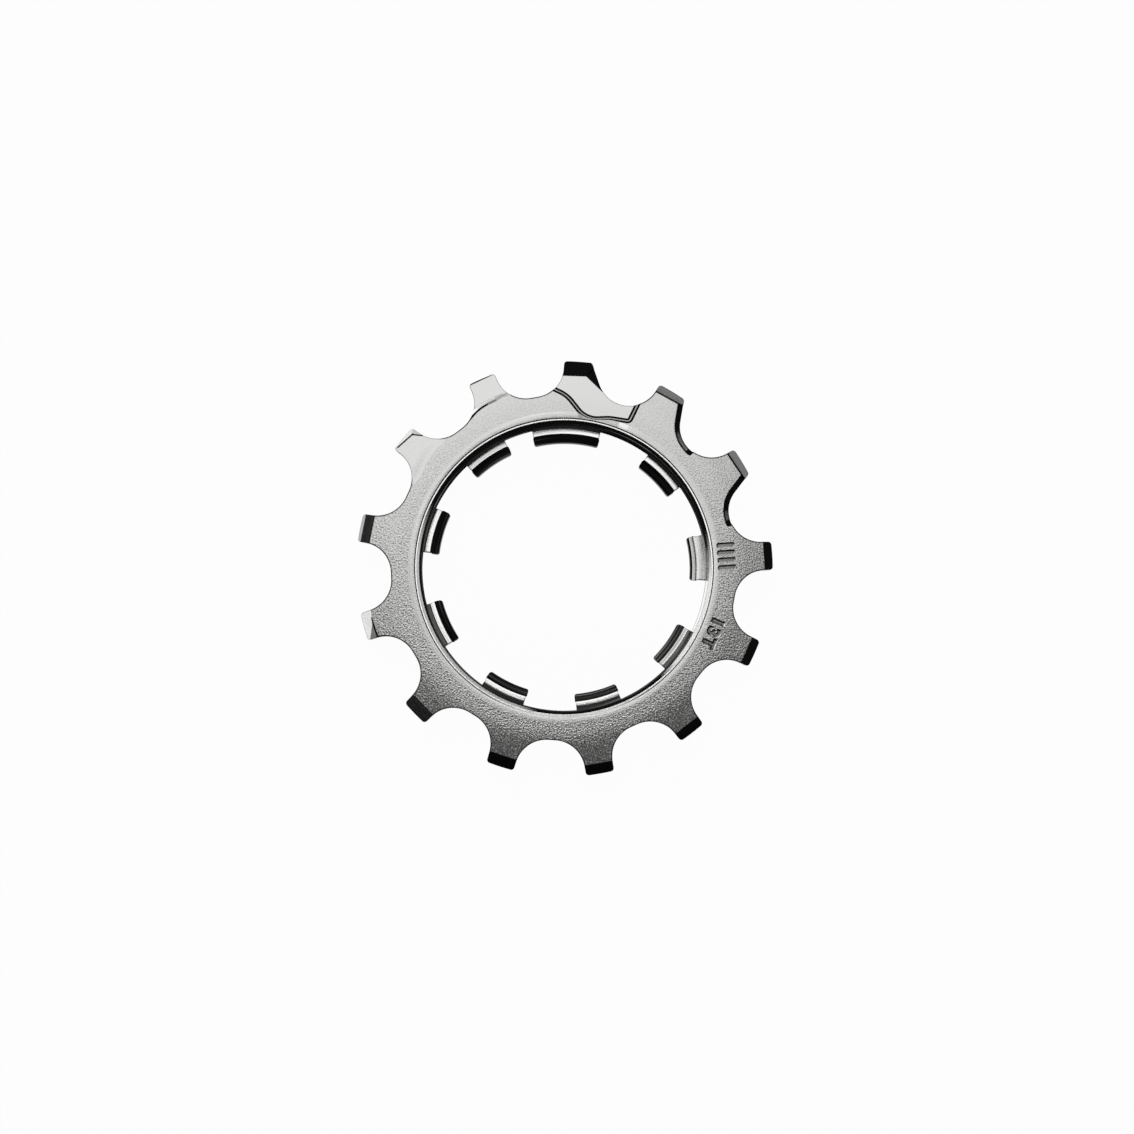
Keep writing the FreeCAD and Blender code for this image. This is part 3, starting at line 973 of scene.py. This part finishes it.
# %% Touch of the bore and its tabs
# Sides of the sprocket where painted highlights and painted shade fall: a direction, the half angle about
# it, and the angle that it fades over
LIT_MOUTH = (115.0, 30.0, 20.0)
SHADED_MOUTH = ((5.0, 70.0, 20.0), (164.0, 26.0, 8.0))
SHADED_STEP = (0.0, 148.0, 15.0)
HIGHLIT_CONE = (15.5, 7.5, 2.0)
LIT_WALL = (105.0, 16.0, 8.0)
LIT_TAB = (84.9, 15.0, 2.0)
LOW_TABS = (185.0, 75.0, 5.0)
STREAKED_TABS = (165.0, 55.0, 5.0)

# Radii at which a tab's root and its flat begin, on the low tabs and on the others
TAB_BANDS = {True: (18.4, 17.88), False: (18.63, tab_end_radius + tab_bevel_run)}
# Painted bands across the coined end of the lit tab, each from its radius outward
LIT_TAB_BANDS = ((17.1, HIGHLIGHT), (17.52, SHADE_BLACK), (17.62, HIGHLIGHT_STREAKS))
UPWARD = 0.3
SIDEWAYS = 0.1
LEVEL_GAP = 0.01


# Painted shade on the wall of the bore, its mouth and its step; painted highlights on the lit side, the lip
# and the cone
def bore_touch(place, normal):
    if normal.z < -UPWARD:
        return GREY
    if normal.z <= UPWARD:
        lit = near_angle(place, *LIT_WALL)
        return mixed(WALL_SHADE, HIGHLIGHT, lit) if wall_foot < place.z < wall_top else SHADE_BLACK
    if place.z < lip_z - LEVEL_GAP:
        lit = mixed(BAND, HIGHLIGHT, near_angle(place, *LIT_MOUTH))
        return mixed(lit, SHADE_BLACK, max(near_angle(place, *side) for side in SHADED_MOUTH))
    if place.z < lip_z + LEVEL_GAP:
        return HIGHLIGHT
    if place.z < rim_z:
        return mixed(BAND, SHADE_BLACK, near_angle(place, *SHADED_STEP))
    return mixed(BAND, HIGHLIGHT, 0.55 * near_angle(place, *HIGHLIT_CONE))


# Painted shade on a tab's root and coined end, painted highlight bands on the lit tab, and a pale flat with
# a painted highlight
def tab_touch(place, normal):
    radius = place.xy.length
    if normal.z < SIDEWAYS:
        return OUTSIDE if normal.z < -SIDEWAYS else SLOT_END
    lit = near_angle(place, *LIT_TAB)
    root_start, flat_start = TAB_BANDS[near_angle(place, *LOW_TABS) > 0.5]
    if radius > root_start:
        return mixed(TAB_ROOT_SHADE, GREY, lit)
    if radius > flat_start:
        return mixed(TAB_FLAT_SHEEN, GREY, 0.5 * lit)
    painted_lit_bands = [SHADE_BLACK] + [touch for limit, touch in LIT_TAB_BANDS if radius > limit]
    plain = mixed(TAB_END_SHADE, STREAKED_TAB_SHADE, near_angle(place, *STREAKED_TABS))
    return mixed(plain, painted_lit_bands[-1], lit)


print("wall on the right side", bore_touch(at(bore_radius, LIT_WALL[0], 2.0), Vector((-1, 0, 0))))

# %% [markdown]
# What is left are the flat faces, the sheared outline, the stamped marks, and the bevels and
# chamfers. The front edge break gets a painted dark line. A stamp's floor gets painted shade, and its
# flank painted shade that turns into a painted highlight by the way it faces. A long chamfer gets
# painted black shade at the tooth, painted grey in the valley, and ends in a painted black line.

# %% Touch of the plate, the marks and the bevels
FACE_NORMAL = 0.9
STAMP_NORMAL = 0.98
STAMP_LIGHT = Vector((-0.6, 0.8, 0.0))
COLLAR_REACH = collar_radius + 1.0
CHAMFER_NORMAL = 0.8
# From the tooth's middle, where each long chamfer's painted shade turns to painted grey and where its
# painted black end line lies
CHAMFER_GREYS_AT = {1: 8.5, 2: 11.5}
CHAMFER_GREYS_OVER = 2.0
CHAMFER_LINE_AT = 14.9


def plate_touch(place, normal):
    if abs(normal.z) > FACE_NORMAL:
        return FRONT
    if place.xy.length < COLLAR_REACH or place.z < collar_height:
        return OUTSIDE
    # Painted shade on the front edge break
    return EDGE_BREAK_SHADE if normal.z > UPWARD else SHEARED


# Painted shade on a stamp's floor; on its flanks painted shade that turns into a painted highlight by the
# way they face
def stamp_touch(place, normal):
    if normal.z > STAMP_NORMAL:
        return STAMP_FLOOR_SHADE
    return mixed(SHADE_BLACK, HIGHLIGHT, 4.0 * normal.dot(STAMP_LIGHT) - 0.8)


def nearest_tooth(place, offset=0.0):
    return round((clockwise(place) - first_tooth - offset) / tooth_step) % teeth


# Painted black shade down a long chamfer, turning to painted grey in the valley
def flank_touch(place, normal):
    tooth = nearest_tooth(place, tooth_step / 2)
    past = clockwise(place) - tooth_angle(tooth)
    if normal.z < CHAMFER_NORMAL or past > CHAMFER_LINE_AT:
        return SHADE_BLACK
    return mixed(SHADE_BLACK, GREY, (past - CHAMFER_GREYS_AT[tooth]) / CHAMFER_GREYS_OVER)


# Painted dark reflection on the plain bevels, dimmer on teeth 8 and 10; painted grey and painted highlights
# on the special facets; a painted dark line in the groove
def facet_touch(name, place):
    tooth = nearest_tooth(place)
    if name == "groove":
        return SHADE_BLACK
    if name == "dark_facet":
        return DIM_REFLECTION if tooth in (8, 10) else SHADE_BLACK
    if name == "grey_facet":
        return mixed(GREY, SHADE_BLACK, 0.2) if tooth == 1 else GREY
    return mixed(HIGHLIGHT, GREY, 0.28)


TOUCH_RULES = {
    "wall": bore_touch, "tab": tab_touch, "stamp": stamp_touch, "flank": flank_touch, "face": plate_touch,
}


def touch_of(name, place, normal):
    if name in pressings:
        return pressed_touch(name, place, normal)
    if name in TOUCH_RULES:
        return TOUCH_RULES[name](place, normal)
    return OUTSIDE if name == "back_facet" else facet_touch(name, place)


print("touch of a plain bevel", facet_touch("dark_facet", at(tip_radius, tooth_angle(3))))

# %% [markdown]
# Shading is smooth within a surface and sharp between surfaces that meet at more than a few
# degrees. A pressing's border is sharp as well, or its wall would shade the flat face beside it.
# Weighted normals keep the big faces flat. Then the markers can go, and the mesh is brought to
# metres.

# %% Write the touch and set the shading
sharp_angle = 14.0


def write_touch(mesh):
    names = [slot.name if slot else "face" for slot in mesh.materials]
    stored = mesh.attributes.new("touch", "FLOAT_COLOR", "CORNER")
    counts = {}
    for face in mesh.polygons:
        name = names[face.material_index]
        counts[name] = counts.get(name, 0) + 1
        colour = touch_of(name, face.center, face.normal)
        for corner in face.loop_indices:
            stored.data[corner].color = colour
    mesh.materials.clear()
    print("faces left by each tool", counts)


def crease_pressings(mesh):
    pressed = [slot and slot.name in pressings for slot in mesh.materials]
    work = bmesh.new()
    work.from_mesh(mesh)
    for edge in work.edges:
        sides = {pressed[face.material_index] for face in edge.link_faces}
        edge.smooth = edge.smooth and len(sides) == 1
    work.to_mesh(mesh)
    work.free()


sprocket.data.shade_smooth()
sprocket.data.set_sharp_from_angle(angle=radians(sharp_angle))
crease_pressings(sprocket.data)
write_touch(sprocket.data)
sprocket.modifiers.new("weigh", "WEIGHTED_NORMAL").keep_sharp = True
settle(sprocket)
sprocket.data.transform(Matrix.Scale(METRES_PER_MM, 4))
print("dressed sprocket spans", tuple(sprocket.dimensions))

# %% [markdown]
# Tumbling left the steel with a fine orange peel, a quarter of a millimetre from one dimple to the
# next, over a slower waviness; both are bumps. The peel is coarser towards -Y, and painted shade
# darkens the outer part of the sprocket on that side. Drawing the collar down left the teeth leaning
# back by a few degrees: too little to model, but a shiny face shows it, so it is a bump as well,
# rising with the radius. Every edge carries a thin line of painted shade, found where a softened
# normal differs from the plain one. Where painted shade makes the metal very dark it is dull too.

# %% Nickel-plated steel
# Lengths in metres, scales per metre
peel_scale = 4800.0
wave_scale = 420.0
ring_scale = 2600.0
ring_smear = 0.0004
peel_at_axis = 0.72
peel_fades_over = 0.045
bump_distance = 0.000045
lean_start = 0.0215
lean_run = 0.0023
lean_slope = tan(radians(5.0))
edge_radius = 0.00015
edge_gain = 40.0
edge_shade = 0.85
unshaded_paleness = 0.95
darkest = 0.004
tint = (0.997, 0.985)


def steel_relief(tree, place, mottled, ringed):
    """The bump's height, its peel, grain and rings, and how far out and low down a point lies."""
    def noise(vector, scale, detail):
        return tree.node("TexNoise", {"Vector": vector, "Scale": scale, "Detail": detail}) - 0.5

    axes = tree.node("SeparateXYZ", {0: place})
    x, y, z = axes, axes.outlet("Y"), axes.outlet("Z")
    radius = (x * x + y * y).math("SQRT")
    rings = noise(tree.vector(radius, x.math("ARCTAN2", y) * ring_smear, z), ring_scale, 1.0) * ringed
    peel = noise(place, peel_scale, 1.0)
    grain = peel * mottled * (peel_at_axis - y / peel_fades_over)
    past = (radius - lean_start).math("MAXIMUM", 0.0)
    bent = past.math("MINIMUM", lean_run)
    low = (y * -110.0 - x * 6.0 - 1.1).math("MAXIMUM", 0.0)
    lean = (bent * bent / (2 * lean_run) + past - bent) * (1 + low)
    waves = noise(place, wave_scale, 2.0)
    height = grain * 1.5 + waves * 0.5 + rings * 0.3 - lean * (lean_slope / bump_distance)
    return height, peel, grain, rings, low * past


def steel():
    material = bpy.data.materials.new("nickel_plated_steel")
    tree = cleared_tree(material)
    place = tree.node("TexCoord", output="Object")
    touch = tree.node("Attribute", output="Color", attribute_name="touch")
    parts = tree.node("SeparateColor", {"Color": touch})
    pale, mottled, rough = parts.outlet("Red"), parts.outlet("Green"), parts.outlet("Blue")
    height, peel, grain, rings, low_shade = steel_relief(tree, place, mottled, touch.outlet("Alpha"))
    soft_edge = tree.node("Bevel", {"Radius": edge_radius}, samples=6)
    plain = tree.node("NewGeometry", output="Normal")
    facing = tree.vectors("DOT_PRODUCT", soft_edge, plain, "Value")
    edge = ((1 - facing) * edge_gain - 0.1).between(0.0, 1.0)
    relief = {"Distance": bump_distance, "Height": height, "Normal": soft_edge}
    bump = tree.node("Bump", relief)
    grey = pale * (1 + grain * 3.0 + rings * 2.0) + (rings - 0.12).math("MAXIMUM", 0.0) * 0.6
    # Painted shade on the outer part towards -Y
    grey = grey * (1 - low_shade * 50.0)
    # Painted shade along the edges, on all but the palest steel
    grey = grey * (1 - edge * edge_shade * ((unshaded_paleness - pale) * 10.0).between(0.0, 1.0))
    grey = grey.between(darkest, 1.0)
    channels = {"Red": grey, "Green": grey * tint[0], "Blue": grey * tint[1]}
    colour = tree.node("CombineColor", channels)
    surface = {"Base Color": colour, "Metallic": 1.0, "Roughness": rough + peel * 0.2, "Normal": bump}
    shiny = tree.node("BsdfPrincipled", surface)
    dull = {"Base Color": colour, "Roughness": 0.6, "Specular IOR Level": 0.0, "Normal": bump}
    dull = tree.node("BsdfPrincipled", dull)
    # Where painted shade makes the steel very dark it turns dull
    shade_dullness = (1.1 - grey * 3.5).between(0.0, 1.0)
    both = tree.node("MixShader", {0: shade_dullness, 1: shiny, 2: dull})
    tree.node("OutputMaterial", {"Surface": both})
    return material


sprocket.data.materials.append(steel())
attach(sprocket, "root")
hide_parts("sprocket")

# %% [markdown]
# The sprocket lies on a white table in a pale room, palest near the table and greyer overhead. A
# soft box hangs above, towards the top of the picture, where the front is brightest. The table
# glows white for the camera and in the steel, and is lit as well, so that it still takes a shadow.

# %% Table, room and soft box
scene = bpy.context.scene
half_table = 1.5
table_whiteness = 0.965
box_width = 0.6
box_length = 0.64
box_place = Vector((-0.080, 0.253, 0.515))
box_radiance = 1.14
room_low = 0.96
room_high = 0.078


def table_material():
    material = bpy.data.materials.new("white_table")
    tree = cleared_tree(material)
    path = tree.node("LightPath")
    seen = path.outlet("Is Camera Ray") + path.outlet("Is Glossy Ray") + path.outlet("Is Transmission Ray")
    matte = tree.node("BsdfDiffuse", {"Color": (0.9, 0.9, 0.9, 1.0)})
    white = tree.node("Emission")
    share = seen.math("MINIMUM", 1.0) * table_whiteness
    surface = tree.node("MixShader", {0: share, 1: matte, 2: white})
    tree.node("OutputMaterial", {"Surface": surface})
    return material


table_mesh = bpy.data.meshes.new("table")
table_corners = [(x * half_table, y * half_table, 0.0) for x, y in SQUARE]
table_mesh.from_pydata(table_corners, [], [(0, 1, 2, 3)])
table_mesh.materials.append(table_material())
table = new_object("table", table_mesh)

world = bpy.data.worlds.new("room")
room = cleared_tree(world)
direction = room.node("TexCoord", output="Generated")
height = room.node("SeparateXYZ", {0: direction}, "Z")
climb = {"Value": height, "From Min": 0.1, "From Max": 0.8, "To Min": room_low, "To Max": room_high}
paleness = room.node("MapRange", climb, interpolation_type="SMOOTHSTEP")
air = room.node("Background", {"Color": (1.0, 1.0, 1.0, 1.0), "Strength": paleness})
room.node("OutputWorld", {"Surface": air})
scene.world = world

lamp = bpy.data.lights.new("soft_box", "AREA")
lamp.shape = "RECTANGLE"
lamp.size = box_width
lamp.size_y = box_length
lamp.energy = box_radiance * pi * box_width * box_length
soft_box = new_object("soft_box", lamp)
soft_box.location = box_place
soft_box.rotation_euler = (-box_place).to_track_quat("-Z", "Y").to_euler()

# %% [markdown]
# The photograph was taken from almost straight above, close to the sprocket: the collar's far end
# looks smaller than its near end. The camera stands where that difference and the ring of teeth
# put it.

# %% Camera
camera_place = (0.000555, -0.01101, 0.17824)
camera_right = Vector((0.99988, 0.01536, 0.0))
camera_up = Vector((-0.01533, 0.99791, 0.0628))
lens = bpy.data.cameras.new("camera")
lens.lens = 42.2
lens.sensor_width = 36.0
lens.clip_start = 0.001
lens.clip_end = 10.0
camera = new_object("camera", lens)
camera_right.normalize()
camera_back = camera_right.cross(camera_up).normalized()
camera_up = camera_back.cross(camera_right)
turned_to = Matrix((camera_right, camera_up, camera_back)).transposed()
camera.matrix_world = Matrix.Translation(camera_place) @ turned_to.to_4x4()
scene.camera = camera
scene.view_settings.view_transform = "Standard"

# %% [markdown]
